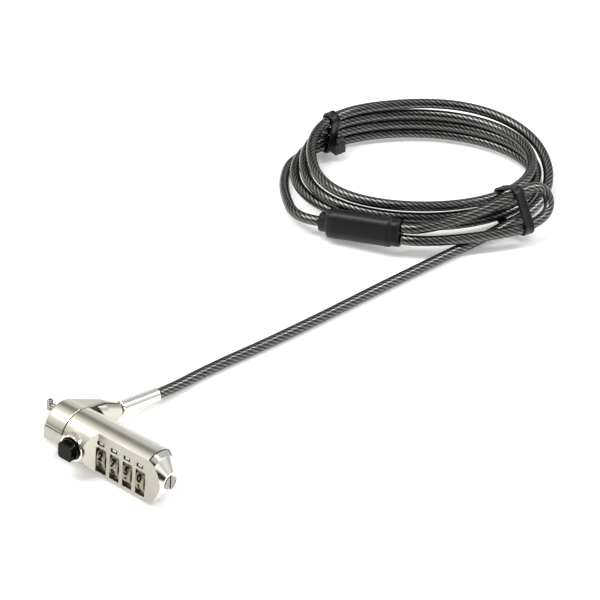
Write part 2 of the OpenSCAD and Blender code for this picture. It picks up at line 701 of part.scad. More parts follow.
module cable_run() {
    color([0.1, 0.1, 0.1]) sweep(run_path, cable_d / 2, tube_sides);
}

module cable_coil() {
    color([0.1, 0.1, 0.1]) sweep(coil_route, cable_d / 2, coil_sides);
}

module cable_eye() {
    color([0.1, 0.1, 0.1]) sweep(eye_path, cable_d / 2, tube_sides);
}

// The sleeve lies along the two strands, its width in their plane
module along_sleeve(t) {
    base = from_coil(sleeve_from + t * sleeve_dir);
    tip = from_coil(sleeve_to);
    dir = unit(tip - base);
    translate(base) rotate([0, 0, atan2(dir.y, dir.x)]) rotate([0, 90 - asin(dir.z), 0])
        rotate([0, 0, -20]) children();
}

module sleeve_slice(w, h, len) {
    linear_extrude(len) rounded_square(w, h, h / 2 - 0.6);
}

module eye_sleeve() {
    run = norm(sleeve_to - sleeve_from);
    color([0.03, 0.03, 0.03]) difference() {
        union() {
            along_sleeve(0.02) sleeve_slice(sleeve_neck_w, sleeve_h - 1.8, sleeve_collar);
            along_sleeve(run - sleeve_collar - 0.02) sleeve_slice(sleeve_mouth_w, sleeve_h - 1.2, sleeve_collar);
            along_sleeve(sleeve_collar) sleeve_slice(sleeve_w, sleeve_h, run - 2 * sleeve_collar);
        }
        along_sleeve(3) sleeve_slice(sleeve_w - 3.2, sleeve_h - 3, run - 6);
    }
}

module eye_crimp() {
    run = norm(sleeve_to - sleeve_from);
    color([0.6, 0.6, 0.6]) along_sleeve(3.05) sleeve_slice(sleeve_w - 3.3, sleeve_h - 3.1, run - 6.1);
}

// Places where the strands cross a tie's two edges: outwards from the pile's middle, and height
function crossings(at, path) = let (m = [coil_a * cos(at), coil_b * sin(at), 0],
    t = unit([-coil_a * sin(at), coil_b * cos(at), 0]), n = [t.y, -t.x, 0])
    [for (edge = [-tie_w / 2, tie_w / 2], i = [1:len(path) - 1])
        let (a = path[i - 1] - m, b = path[i] - m, before = a * t - edge, after = b * t - edge)
        if (before * after < 0 && abs(a * n) < tie_reach)
            let (p = a + (b - a) * before / (before - after)) [p * n, p.z]];

module round_strands(at, path, r) {
    hull() for (p = crossings(at, path)) translate(p) circle(r, $fn = 24);
}

// A strap round all the strands at an angle of the oval
module tie(at, path, knot) {
    m = from_coil([coil_a * cos(at), coil_b * sin(at), 0]);
    along = atan2(coil_b * cos(at), -coil_a * sin(at)) + coil_turn;
    translate([m.x, m.y, 0]) rotate([0, 0, along + 180]) rotate([90, 0, 90]) translate([0, 0, -tie_w / 2]) {
        linear_extrude(tie_w) difference() {
            round_strands(at, path, cable_d / 2 + tie_fit + tie_t);
            round_strands(at, path, cable_d / 2 + tie_fit);
        }
        translate([0, 0, tie_w / 2 - 3]) difference() {
            translate([knot.x, knot.y - 2.6, 0]) cube([-knot.x - knot_in, 5.2, 6]);
            translate([0, 0, -1]) linear_extrude(8) round_strands(at, path, cable_d / 2 + tie_fit);
        }
    }
}

module tie_left() {
    color([0.04, 0.04, 0.04]) tie(136, coil_path, [-8, 6]);
}

module tie_right() {
    color([0.04, 0.04, 0.04]) tie(coil_start, concat([2 * coil_path[0] - coil_path[1]], coil_path, eye_route), [-6, 6]);
}

housing();
end_cap();
nose_core();
nose_plate();
nose_screws();
button_bezel();
button_cage();
dial_shaft();
dial_washer();
detent_spring();
tip_spring();
swivel_collar();
ferrule();
swivel_pin();
swivel_washer();
lock_tip();
tip_spindle();
tip_pinion();
push_button();
button_rack();
lock_bar();
reset_screw();
for (i = [0:dial_count - 1]) {
    dial(i);
    dial_hub(i);
}
cable_run();
cable_coil();
cable_eye();
eye_sleeve();
eye_crimp();
tie_left();
tie_right();
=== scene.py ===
import bpy
import bmesh
import json
import math
from mathutils import Matrix, Vector


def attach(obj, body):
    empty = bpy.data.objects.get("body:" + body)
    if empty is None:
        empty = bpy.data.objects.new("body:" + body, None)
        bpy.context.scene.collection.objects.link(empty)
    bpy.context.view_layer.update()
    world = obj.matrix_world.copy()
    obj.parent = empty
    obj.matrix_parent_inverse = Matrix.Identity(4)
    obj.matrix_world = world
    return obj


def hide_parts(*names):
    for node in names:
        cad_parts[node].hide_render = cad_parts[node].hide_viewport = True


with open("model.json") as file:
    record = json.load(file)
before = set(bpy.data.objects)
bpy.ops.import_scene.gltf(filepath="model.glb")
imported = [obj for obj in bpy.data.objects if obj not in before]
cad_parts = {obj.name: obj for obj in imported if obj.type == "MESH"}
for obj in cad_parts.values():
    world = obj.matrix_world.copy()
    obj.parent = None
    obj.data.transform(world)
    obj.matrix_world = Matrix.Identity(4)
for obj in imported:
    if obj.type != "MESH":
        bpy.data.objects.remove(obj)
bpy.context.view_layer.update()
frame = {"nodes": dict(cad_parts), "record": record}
nodes = frame["nodes"]
scene = bpy.context.scene
MM = 0.001

# ---------------------------------------------------------------- camera
CAMERA_PLACE = (0.5385, -0.5524, 0.6485)
CAMERA_LOOK = (-0.5112, 0.6136, -0.6018)
LENS, SENSOR = 166.2, 36.0
CLIP_START, CLIP_END = 0.05, 20.0

cam_data = bpy.data.cameras.new("camera")
cam_data.lens = LENS
cam_data.sensor_width = SENSOR
cam_data.clip_start = CLIP_START
cam_data.clip_end = CLIP_END
camera = bpy.data.objects.new("camera", cam_data)
scene.collection.objects.link(camera)
camera.location = CAMERA_PLACE
camera.rotation_mode = "QUATERNION"
camera.rotation_quaternion = Vector(CAMERA_LOOK).to_track_quat("-Z", "Y")
scene.camera = camera
scene.view_settings.view_transform = "Standard"

# ---------------------------------------------------------------- the part's own sizes, in mm
# Places are given from the tip end of the head's axis; the frame's origin is at MID there, on the floor
MID = (24.1, 13.0029)
TAIL_R = 10.2
HEAD_ROLL = math.radians(6)
COLLAR_SEAM, CAP_JOINT = 9.65 - MID[0], 47.6 - MID[0]
CABLE_D = 4.2
TIE_T, TIE_W, TIE_FIT = 0.9, 4.4, 0.15
ARM_YAW, ARM_PITCH = math.radians(8.2), math.radians(9)
ARM_X, ARM_LEN, ARM_GAP, FERRULE_LEN = 5.7, 21.9, 0.6, 17.9
FERRULE_END = ARM_LEN + ARM_GAP + FERRULE_LEN
DIALS, DIAL_X, DIAL_PITCH, DIAL_R = 4, 25.2, 6.2, 6.2
SHAFT_Y, SHAFT_Z = 0.5, -2.3
FACE_Y, WINDOW_Z, WINDOW_H = 4.8, -2.8, 10.6
INDEX_GAP, INDEX_H, INDEX_SHIFT = 1.1, 1.7, -0.4
INDEX_Z = WINDOW_Z + WINDOW_H / 2 + INDEX_GAP + INDEX_H / 2

# Coil: where its oval lies, its half axes and how its loops pile up
COIL_MID, COIL_TURN, COIL_START = (0.4, 213.0), math.radians(39.8), -50.0
COIL_A, COIL_B, COIL_TURNS, COIL_LAYERS, LAYER_STEP = 51.2, 35.7, 3.46, 4, 4.7
LAYER_LEAD, COIL_SWING, PULL_IN, OVAL_X = 0.11, 0.5, (9.0, 3.2), -3.2
CLIMB_TURNS = 0.5
BOTTOM_Z = TIE_T + TIE_FIT + CABLE_D / 2
ENTRY_OUT, ENTRY_Z, ENTRY_Q, ENTRY_SAG = CABLE_D + 0.75, BOTTOM_Z + 0.05, 0.2, 0.75
OVER_Z = BOTTOM_Z + LAYER_STEP * (COIL_LAYERS - 2)
LEAD_TURNS, LEAD_OUT, LEAD_DROP = 0.16, 2.6, 0.3
RINGS = 24

# Straight run from the ferrule to the coil: x and y from the tip end, height over the floor
RUN_ROUTE = [
    (12.7, 48, 2.9), (13.4, 54, 2.5), (14.6, 62, 2.25), (17.2, 74, 2.2), (20.6, 87.5, 2.2),
    (24.7, 106, 2.2), (28.7, 126, 2.2), (32.5, 146, 2.2), (36.6, 166, 2.25), (40.4, 183, 2.6),
    (43.2, 193.5, 3)]
# From the coil's last turn to the sleeve, and the loop at the cable's end: along and across the
# oval, and height
LEAD_ROUTE = [
    (-55.4, 6, 3.1), (-56.2, -2.6, 3.7), (-55.6, -11.4, 4.4), (-54.2, -19.4, 5.1),
    (-52.7, -25.3, 5.7), (-50.2, -29.2, 6.2), (-47.9, -31.3, 6.5)]
EYE_ROUTE = [
    (-1, -46.4, 12.2), (6, -44.8, 12.7), (14, -42.2, 13.8), (22, -39.7, 15.6), (29.2, -36.9, 17.6),
    (36.2, -33.4, 19.2), (42.2, -29.4, 19.9), (45.7, -27.3, 19), (48.6, -26.8, 16.6), (50.2, -28.5, 13.5),
    (49.8, -31.7, 10.9), (47.4, -35, 9.5), (43.6, -38.1, 8.8), (39.6, -40.4, 8.2), (34.6, -42.2, 7.7),
    (28.2, -43.6, 7.3), (21, -45.2, 7.1), (13.6, -46.6, 7.1), (6, -47.8, 7.2), (-1, -48.4, 7.4)]
STRAND_ROOM, EYE_SIDE_SHARE, EYE_UP_SHARE = 0.25, -0.35, 0.94

SLEEVE_LEN, SLEEVE_ROLL = 34.0, math.radians(-20)
SLEEVE_MID = Vector((-25.55, -39.95, 8.1))
sleeve_dir = Vector((31.5, -11.9, 2.6)).normalized()
SLEEVE_FROM = SLEEVE_MID - SLEEVE_LEN / 2 * sleeve_dir
SLEEVE_TO = SLEEVE_MID + SLEEVE_LEN / 2 * sleeve_dir
SLEEVE_W, SLEEVE_H, SLEEVE_COLLAR, SLEEVE_SIDES = 12.0, 8.4, 3.6, 56
SLEEVE_NECK_W, SLEEVE_NECK_H = 7.8, SLEEVE_H - 1.8
SLEEVE_MOUTH_W, SLEEVE_MOUTH_H = 11.0, SLEEVE_H - 1.2


# ---------------------------------------------------------------- the cable's route
def ease(f):
    return min(1.0, max(0.0, f))


def smooth(f):
    f = ease(f)
    return f * f * (3 - 2 * f)


def zigzag(q):
    """From 1 to -1 in one turn, and back in the next."""
    k = math.floor(q)
    f = q - k
    return 1 - 2 * f if k % 2 == 0 else 2 * f - 1


def climb(q):
    """Layers gone down after q turns, each about a whole number of turns."""
    return sum(ease((q - k) / CLIMB_TURNS + 0.5) for k in range(1, COIL_LAYERS))


def oval(q, out, z, level):
    """Place on the oval after q turns, out from it; the upper loops are drawn in at its two ends."""
    a = math.radians(COIL_START + 360 * q)
    drawn = PULL_IN[1 if math.cos(a) > 0 else 0] * math.cos(a) ** 2 * smooth(level / (COIL_LAYERS - 1))
    return Vector((OVAL_X + (COIL_A + out - drawn) * math.cos(a), (COIL_B + out) * math.sin(a), z))


def entry_height(q):
    """The first turn climbs outside the pile, then rolls onto its top."""
    if q < ENTRY_Q:
        f = q / ENTRY_Q
        return ENTRY_Z + (OVER_Z - ENTRY_Z) * (f * f * (3 - 2 * f) + ENTRY_SAG * f * f * (f - 1))
    return OVER_Z + LAYER_STEP * math.sin(math.pi / 2 * ease((q - ENTRY_Q) / ENTRY_Q))


def coil_point(q):
    if q < 2 * ENTRY_Q:
        level = (entry_height(q) - BOTTOM_Z) / LAYER_STEP
    else:
        level = COIL_LAYERS - 1 - climb(q + LAYER_LEAD)
    wide = ENTRY_OUT * math.cos(math.pi / 2 * ease((q - ENTRY_Q) / ENTRY_Q))
    return oval(q, COIL_SWING * zigzag(q + LAYER_LEAD) + wide, BOTTOM_Z + LAYER_STEP * level, level)


def lead_point(f):
    out = COIL_SWING * zigzag(COIL_TURNS + LAYER_LEAD) + LEAD_OUT * smooth(f)
    return oval(COIL_TURNS + f * LEAD_TURNS, out, BOTTOM_Z - LEAD_DROP * smooth(f), 0)


def from_nose(p):
    return Vector((p[0] - MID[0], p[1] - MID[1], p[2])) * MM


def from_coil(p):
    c, s = math.cos(COIL_TURN), math.sin(COIL_TURN)
    return from_nose((COIL_MID[0] + p[0] * c - p[1] * s, COIL_MID[1] + p[0] * s + p[1] * c, p[2]))


def to_coil(p):
    """A place in the coil's own axes, in mm: the inverse of from_coil."""
    q = Vector(((p.x / MM + MID[0]) - COIL_MID[0], (p.y / MM + MID[1]) - COIL_MID[1]))
    c, s = math.cos(COIL_TURN), math.sin(COIL_TURN)
    return Vector((q.x * c + q.y * s, -q.x * s + q.y * c, p.z / MM))


def from_body(x, y, z):
    """A place given from the head's own axis, rolled with the dial face."""
    c, s = math.cos(HEAD_ROLL), math.sin(HEAD_ROLL)
    return Vector((x - MID[0], y * c + z * s - MID[1], -y * s + z * c + TAIL_R)) * MM


ARM_DIR = Vector((math.sin(ARM_YAW) * math.cos(ARM_PITCH),
                  math.cos(ARM_YAW) * math.cos(ARM_PITCH), -math.sin(ARM_PITCH)))


def on_arm(t):
    return from_nose(Vector((ARM_X, 0, TAIL_R)) + t * ARM_DIR)


TINY = 1e-9
coil_rings = [coil_point(i / RINGS) for i in range(int(COIL_TURNS * RINGS + TINY) + 1)]
lead_rings = LEAD_TURNS * RINGS
lead = [lead_point(i / lead_rings) for i in range(1, int(lead_rings + TINY) + 1)]
coil_route = [from_coil(p) for p in coil_rings + lead + [Vector(p) for p in LEAD_ROUTE]
              + [SLEEVE_FROM - CABLE_D * sleeve_dir, SLEEVE_FROM]]
run_route = [on_arm(FERRULE_END), on_arm(FERRULE_END + CABLE_D)] + [from_nose(p) for p in RUN_ROUTE]
eye_side = sleeve_dir.cross(Vector((0, 0, 1))).normalized()
eye_up = eye_side.cross(sleeve_dir)
strand_gap = CABLE_D / 2 + STRAND_ROOM
eye_high = SLEEVE_TO + strand_gap * (EYE_SIDE_SHARE * eye_side + EYE_UP_SHARE * eye_up)
eye_low = SLEEVE_TO - strand_gap * (EYE_SIDE_SHARE * eye_side + EYE_UP_SHARE * eye_up)
eye_route = [from_coil(p) for p in [eye_high, eye_high + CABLE_D * sleeve_dir]
             + [Vector(p) for p in EYE_ROUTE] + [eye_low + CABLE_D * sleeve_dir, eye_low]]


# ---------------------------------------------------------------- mesh helpers
def catmull(points, per):
    """A smooth curve through the points, with per places from each point to the next."""
    pts = [points[0] * 2 - points[1]] + points + [points[-1] * 2 - points[-2]]
    out = []
    for i in range(1, len(pts) - 2):
        p0, p1, p2, p3 = pts[i - 1:i + 3]
        t0, t1 = 0.0, (p1 - p0).length ** 0.5
        t2 = t1 + (p2 - p1).length ** 0.5
        t3 = t2 + (p3 - p2).length ** 0.5
        for k in range(per):
            t = t1 + (t2 - t1) * k / per
            a1 = p0 * ((t1 - t) / (t1 - t0)) + p1 * ((t - t0) / (t1 - t0))
            a2 = p1 * ((t2 - t) / (t2 - t1)) + p2 * ((t - t1) / (t2 - t1))
            a3 = p2 * ((t3 - t) / (t3 - t2)) + p3 * ((t - t2) / (t3 - t2))
            b1 = a1 * ((t2 - t) / (t2 - t0)) + a2 * ((t - t0) / (t2 - t0))
            b2 = a2 * ((t3 - t) / (t3 - t1)) + a3 * ((t - t1) / (t3 - t1))
            out.append(b1 * ((t2 - t) / (t2 - t1)) + b2 * ((t - t1) / (t2 - t1)))
    return out + [points[-1].copy()]


def resample(points, step):
    """The same line with its points evenly spaced, about a step apart."""
    lengths = [0.0]
    for a, b in zip(points, points[1:]):
        lengths.append(lengths[-1] + (b - a).length)
    count = max(2, round(lengths[-1] / step))
    out, j = [], 0
    for i in range(count + 1):
        s = lengths[-1] * i / count
        while j < len(points) - 2 and lengths[j + 1] < s:
            j += 1
        f = (s - lengths[j]) / max(1e-12, lengths[j + 1] - lengths[j])
        out.append(points[j].lerp(points[j + 1], f))
    return out


def relax(points, rounds, keep=3):
    """Each point is drawn towards its neighbours, apart from those kept at the two ends."""
    for _ in range(rounds):
        points = [p if i < keep or i >= len(points) - keep else (points[i - 1] + p * 2 + points[i + 1]) / 4
                  for i, p in enumerate(points)]
    return points


def ring_faces(rings, sides, closed=False):
    """Faces from each ring of points to the next one, and from the last to the first if closed."""
    faces = []
    for i in range(rings if closed else rings - 1):
        here, there = i * sides, (i + 1) % rings * sides
        for k in range(sides):
            j = (k + 1) % sides
            faces.append((here + k, here + j, there + j, there + k))
    return faces


def new_object(name, verts, faces, uvs=None, smooth_shade=True):
    mesh = bpy.data.meshes.new(name)
    mesh.from_pydata([tuple(v) for v in verts], [], faces)
    if uvs:
        layer = mesh.uv_layers.new(name="UVMap")
        for poly in mesh.polygons:
            for loop, uv in zip(poly.loop_indices, uvs[poly.index]):
                layer.data[loop].uv = uv
    if smooth_shade:
        mesh.shade_smooth()
    mesh.validate()
    ob = bpy.data.objects.new(name, mesh)
    scene.collection.objects.link(ob)
    return ob


def tube(name, pts, r, sides=20):
    """A round tube along the points. Its UV map runs once round it, and along it in metres."""
    verts, uvs, runs = [], [], [0.0]
    side = (pts[1] - pts[0]).normalized().cross(Vector((0, 0, 1))).normalized()
    for i, p in enumerate(pts):
        t = (pts[min(len(pts) - 1, i + 1)] - pts[max(0, i - 1)]).normalized()
        side = (side - t * side.dot(t)).normalized()
        up = side.cross(t)
        if i:
            runs.append(runs[-1] + (p - pts[i - 1]).length)
        for k in range(sides):
            w = 2 * math.pi * k / sides
            verts.append(p + r * (math.cos(w) * side + math.sin(w) * up))
    faces = ring_faces(len(pts), sides)
    for i in range(len(pts) - 1):
        for k in range(sides):
            u0, u1 = k / sides, (k + 1) / sides
            uvs.append(((u0, runs[i]), (u1, runs[i]), (u1, runs[i + 1]), (u0, runs[i + 1])))
    for i, flip in ((0, True), (len(pts) - 1, False)):
        ring = [i * sides + k for k in range(sides)]
        faces.append(tuple(ring if not flip else reversed(ring)))
        uvs.append([(0.0, runs[i])] * sides)
    faces = [tuple(reversed(f)) for f in faces]
    uvs = [list(reversed(u)) for u in uvs]
    return new_object(name, verts, faces, uvs)


# ---------------------------------------------------------------- cords
CABLE_STEP, EYE_STEP = 1.1 * MM, 0.8 * MM
cable_line = relax(resample(catmull(run_route + coil_route, per=6), CABLE_STEP), rounds=12)
eye_line = relax(resample(catmull(eye_route, per=8), EYE_STEP), rounds=14)
cable = tube("cable_jacket", cable_line, CABLE_D / 2 * MM)
eye = tube("loop_jacket", eye_line, CABLE_D / 2 * MM)
for ob, swaps in ((cable, ("cable_run", "cable_coil")), (eye, ("cable_eye",))):
    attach(ob, "cable")
    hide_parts(*swaps)


# ---------------------------------------------------------------- material helpers
def clear(block):
    """The block's own node tree, emptied."""
    block.use_nodes = True
    block.node_tree.nodes.clear()
    return block.node_tree


def node(tree, kind, **sets):
    n = tree.nodes.new(kind)
    for k, v in sets.items():
        setattr(n, k, v)
    return n


def math_node(tree, op, a, b=None, c=None):
    n = node(tree, "ShaderNodeMath", operation=op)
    for i, v in enumerate((a, b, c)):
        if v is None:
            continue
        if isinstance(v, (int, float)):
            n.inputs[i].default_value = v
        else:
            tree.links.new(v, n.inputs[i])
    return n.outputs[0]


def dot_node(tree, vector, direction):
    n = node(tree, "ShaderNodeVectorMath", operation="DOT_PRODUCT")
    tree.links.new(vector, n.inputs[0])
    n.inputs[1].default_value = direction
    return n.outputs["Value"]


def ramp(tree, fac, stops):
    n = node(tree, "ShaderNodeValToRGB")
    els = n.color_ramp.elements
    while len(els) < len(stops):
        els.new(0.5)
    for e, (pos, col) in zip(els, stops):
        e.position = pos
        e.color = (*col, 1)
    tree.links.new(fac, n.inputs[0])
    return n.outputs[0]


def noise(tree, vector, scale, detail=3.0, rough=0.5):
    n = node(tree, "ShaderNodeTexNoise", noise_dimensions="3D")
    n.inputs["Scale"].default_value = scale
    n.inputs["Detail"].default_value = detail
    n.inputs["Roughness"].default_value = rough
    tree.links.new(vector, n.inputs["Vector"])
    return n.outputs["Fac"]


def object_coords(tree, stretch=(1, 1, 1)):
    tc = node(tree, "ShaderNodeTexCoord")
    mp = node(tree, "ShaderNodeMapping")
    mp.inputs["Scale"].default_value = stretch
    tree.links.new(tc.outputs["Object"], mp.inputs["Vector"])
    return mp.outputs["Vector"]


def bump(tree, height, strength, distance, normal=None):
    n = node(tree, "ShaderNodeBump")
    n.inputs["Strength"].default_value = strength
    n.inputs["Distance"].default_value = distance
    tree.links.new(height, n.inputs["Height"])
    if normal is not None:
        tree.links.new(normal, n.inputs["Normal"])
    return n.outputs["Normal"]


def round_edges(tree, radius):
    n = node(tree, "ShaderNodeBevel", samples=6)
    n.inputs["Radius"].default_value = radius
    return n.outputs["Normal"]


def edge_mask(tree, normal, gain=6.0):
    """0 on flats, growing where the rounded normal leaves the true one, along worn edges."""
    geo = node(tree, "ShaderNodeNewGeometry")
    dot = node(tree, "ShaderNodeVectorMath", operation="DOT_PRODUCT")
    tree.links.new(normal, dot.inputs[0])
    tree.links.new(geo.outputs["Normal"], dot.inputs[1])
    return math_node(tree, "MULTIPLY", math_node(tree, "SUBTRACT", 1.0, dot.outputs["Value"]), gain)


def facing_mask(tree, direction, limit=0.96):
    """1 on flats that face the direction."""
    geo = node(tree, "ShaderNodeNewGeometry")
    return math_node(tree, "GREATER_THAN", dot_node(tree, geo.outputs["Normal"], direction), limit)


def line_mask(tree, places, half):
    """1 within half a line's width of any of the places along X, 0 elsewhere; all in mm."""
    tc = node(tree, "ShaderNodeTexCoord")
    sep = node(tree, "ShaderNodeSeparateXYZ")
    tree.links.new(tc.outputs["Object"], sep.inputs[0])
    total = None
    for x in places:
        near = math_node(tree, "COMPARE", sep.outputs["X"], x * MM, half * MM)
        total = near if total is None else math_node(tree, "MAXIMUM", total, near)
    return total


def shader(tree, **values):
    b = node(tree, "ShaderNodeBsdfPrincipled")
    out = node(tree, "ShaderNodeOutputMaterial")
    tree.links.new(b.outputs[0], out.inputs["Surface"])
    for k, v in values.items():
        b.inputs[k.replace("_", " ")].default_value = v
    return b


def mix_color(tree, fac, a, b):
    n = node(tree, "ShaderNodeMix", data_type="RGBA")
    tree.links.new(fac, n.inputs[0])
    for i, v in ((6, a), (7, b)):
        if isinstance(v, tuple):
            n.inputs[i].default_value = (*v, 1)
        else:
            tree.links.new(v, n.inputs[i])
    return n.outputs[2]


def spread_round(tree, middle, spread, fac):
    """A value that varies with the factor, spread about its middle."""
    return math_node(tree, "ADD", middle - spread / 2, math_node(tree, "MULTIPLY", fac, spread))


FACE_DIR = (0.0, -math.cos(HEAD_ROLL), math.sin(HEAD_ROLL))
METAL_EDGE, METAL_GRAIN_D, CLOUD_DARK, CLOUD_LIGHT = 0.12, 0.02, 0.94, 1.05
# Painted shade in the joint gaps: half its width in mm, and its colour
SEAM_SHADE_HALF, SEAM_SHADE_COLOR = 0.24, (0.035, 0.03, 0.02)
PLASTIC_EDGE, PLASTIC_GRAIN_D = 0.2, 0.03


def metal(name, color, worn, rough, spread, grain, grain_size, edge, stretch=(1, 1, 1), lines=None,
          face_shade=None):
    """Plated or machined metal: colour cloud, worn bright edges, fine grain, painted shade along the
    joints.

    The lines are places along X, where a dark line of painted shade fills the joint gaps; the shaded face
    is a flat's direction, a darker colour painted on it as shade that stands in for a darker reflection,
    and its roughness."""
    mat = bpy.data.materials.new(name)
    tree = clear(mat)
    b = shader(tree, Metallic=1.0)
    co = object_coords(tree, stretch)
    normal = round_edges(tree, METAL_EDGE * MM)
    cloud = noise(tree, co, scale=120, detail=4, rough=0.55)
    tone = mix_color(tree, cloud, tuple(c * CLOUD_DARK for c in color),
                     tuple(min(1, c * CLOUD_LIGHT) for c in color))
    mask = math_node(tree, "MULTIPLY", edge_mask(tree, normal), edge)
    if face_shade:
        # Painted shade: flats facing the direction take the darker colour, standing in for a darker
        # reflection
        face_shade_mask = facing_mask(tree, face_shade[0])
        tone = mix_color(tree, face_shade_mask, tone, face_shade[1])
    tone = mix_color(tree, math_node(tree, "MINIMUM", mask, 1.0), tone, worn)
    # Painted shade: a dark line along each joint place, off the dial face, where shade falls in the gap
    if lines:
        seam_shade = math_node(tree, "MULTIPLY", line_mask(tree, lines, SEAM_SHADE_HALF),
                          math_node(tree, "SUBTRACT", 1.0, facing_mask(tree, FACE_DIR)))
        tone = mix_color(tree, seam_shade, tone, SEAM_SHADE_COLOR)
    tree.links.new(tone, b.inputs["Base Color"])
    fine = noise(tree, co, scale=grain_size, detail=3, rough=0.6)
    r = spread_round(tree, rough, spread, noise(tree, co, scale=260, detail=2, rough=0.5))
    if face_shade:
        r = math_node(tree, "ADD", r, math_node(tree, "MULTIPLY", face_shade_mask, face_shade[2] - rough))
    tree.links.new(r, b.inputs["Roughness"])
    tree.links.new(bump(tree, fine, grain, METAL_GRAIN_D * MM, normal), b.inputs["Normal"])
    return mat


def plastic(name, color, rough, spread, grain, grain_size, coat=0.0, lift=1.6, gloss=0.5):
    """Moulded plastic or rubber: uneven gloss, faint scuffs lifted in tone, fine skin."""
    mat = bpy.data.materials.new(name)
    tree = clear(mat)
    b = shader(tree, Metallic=0.0, Coat_Weight=coat, Coat_Roughness=0.06, Specular_IOR_Level=gloss)
    co = object_coords(tree)
    normal = round_edges(tree, PLASTIC_EDGE * MM)
    scuff = ramp(tree, noise(tree, co, scale=900, detail=6, rough=0.7),
                 [(0.45, (0, 0, 0)), (0.75, (1, 1, 1))])
    tone = mix_color(tree, scuff, color, tuple(min(1, c * lift) for c in color))
    tree.links.new(tone, b.inputs["Base Color"])
    r = spread_round(tree, rough, spread, noise(tree, co, scale=400, detail=3))
    tree.links.new(r, b.inputs["Roughness"])
    skin = bump(tree, noise(tree, co, scale=grain_size, detail=2), grain, PLASTIC_GRAIN_D * MM, normal)
    tree.links.new(skin, b.inputs["Normal"])
    return mat


# Strands round the cable, the length of one turn of their lay, and wires across a strand
STRANDS, LAY, WIRES = 8, 19.0 * MM, 4
# Strand tones from groove to crown; the near-black grooves are painted shade between the strands
STRAND_TONES_AND_SHADE = [(0.0, (0.002, 0.002, 0.002)), (0.5, (0.014, 0.014, 0.0135)), (1.0, (0.15, 0.15, 0.144))]
# How full a strand's crown is in height and in tone, its grooves painted dark as shade, and how high a wire
# stands on it
CROWN_HEIGHT, CROWN_SHADE, WIRE_HEIGHT = 0.6, 1.4, 0.05


def cable_material(name):
    """Steel strands twisted round each other, seen through a smoked clear jacket, with painted shade in the
    grooves between them.
    """
    mat = bpy.data.materials.new(name)
    tree = clear(mat)
    b = shader(tree, Metallic=1.0, Specular_Tint=(0.05, 0.05, 0.05, 1.0),
               Coat_Weight=1.0, Coat_Roughness=0.18)
    uv =node(tree, "ShaderNodeUVMap", uv_map="UVMap")
    sep = node(tree, "ShaderNodeSeparateXYZ")
    tree.links.new(uv.outputs[0], sep.inputs[0])
    turns = math_node(tree, "DIVIDE", sep.outputs["Y"], LAY)
    phase = math_node(tree, "MULTIPLY", math_node(tree, "ADD", sep.outputs["X"], turns), STRANDS)
    crown = math_node(tree, "SINE", math_node(tree, "MULTIPLY", math_node(tree, "FRACT", phase), math.pi))
    against = math_node(tree, "SUBTRACT", sep.outputs["X"], math_node(tree, "MULTIPLY", turns, 2.0))
    back = math_node(tree, "MULTIPLY", against, STRANDS * WIRES)
    wire = math_node(tree, "SINE", math_node(tree, "MULTIPLY", back, 2 * math.pi))
    height = math_node(tree, "ADD", math_node(tree, "POWER", crown, CROWN_HEIGHT),
                       math_node(tree, "MULTIPLY", wire, WIRE_HEIGHT))
    dirt = noise(tree, object_coords(tree), scale=350, detail=4)
    # Painted shade: each strand darkens towards its grooves, its tone also varied at random by dirt
    shade = math_node(tree, "MULTIPLY", math_node(tree, "POWER", crown, CROWN_SHADE),
                      spread_round(tree, middle=1.0, spread=0.6, fac=dirt))
    tree.links.new(ramp(tree, shade, STRAND_TONES_AND_SHADE), b.inputs["Base Color"])
    tree.links.new(spread_round(tree, middle=0.31, spread=0.14, fac=dirt), b.inputs["Roughness"])
    tree.links.new(bump(tree, height, strength=0.45, distance=0.2 * MM), b.inputs["Normal"])
    return mat


# ---------------------------------------------------------------- materials, by slot and for single pieces
# The dial face's flat: its direction, a darker colour painted on it as shade that stands in for a darker
# reflection, and its roughness
SATIN_FACE_PAINTED_SHADE = (FACE_DIR, (0.42, 0.405, 0.35), 0.3)
POLISH = dict(color=(0.80, 0.79, 0.75), worn=(0.93, 0.92, 0.88), rough=0.11, spread=0.03, grain=0.008,
              grain_size=3000, edge=0.4)
METALS = {
    "satin_nickel": dict(color=(0.56, 0.54, 0.47), worn=(0.78, 0.76, 0.69), rough=0.29, spread=0.06,
                         grain=0.10, grain_size=5200, edge=0.5,
                         lines=(COLLAR_SEAM, CAP_JOINT), face_shade=SATIN_FACE_PAINTED_SHADE),
    "polished_nickel": POLISH,
    "cap_nickel": dict(POLISH, lines=(CAP_JOINT,), face_shade=SATIN_FACE_PAINTED_SHADE),
    # A darker copy of the nickel: painted shade on the tip, its spindle and the reset screw
    "tip_nickel": dict(color=(0.30, 0.29, 0.26), worn=(0.8, 0.79, 0.75), rough=0.24, spread=0.08,
                       grain=0.04, grain_size=3000, edge=0.8),
    "inner_steel": dict(color=(0.46, 0.46, 0.45), worn=(0.7, 0.7, 0.68), rough=0.38, spread=0.12,
                        grain=0.25, grain_size=2500, edge=0.6, stretch=(0.2, 1, 1)),
    "spring_steel": dict(color=(0.5, 0.5, 0.49), worn=(0.7, 0.7, 0.7), rough=0.3, spread=0.1,
                         grain=0.15, grain_size=3000, edge=0.5),
    "hub_brass": dict(color=(0.66, 0.52, 0.28), worn=(0.85, 0.72, 0.45), rough=0.33, spread=0.1,
                      grain=0.2, grain_size=2500, edge=0.5, stretch=(0.3, 1, 1)),
    "dial_brass": dict(color=(0.29, 0.265, 0.19), worn=(0.5, 0.46, 0.35), rough=0.34, spread=0.08,
                       grain=0.1, grain_size=3000, edge=0.5),
    "crimp_alloy": dict(color=(0.6, 0.6, 0.6), worn=(0.75, 0.75, 0.75), rough=0.42, spread=0.15,
                        grain=0.3, grain_size=1800, edge=0.5)}
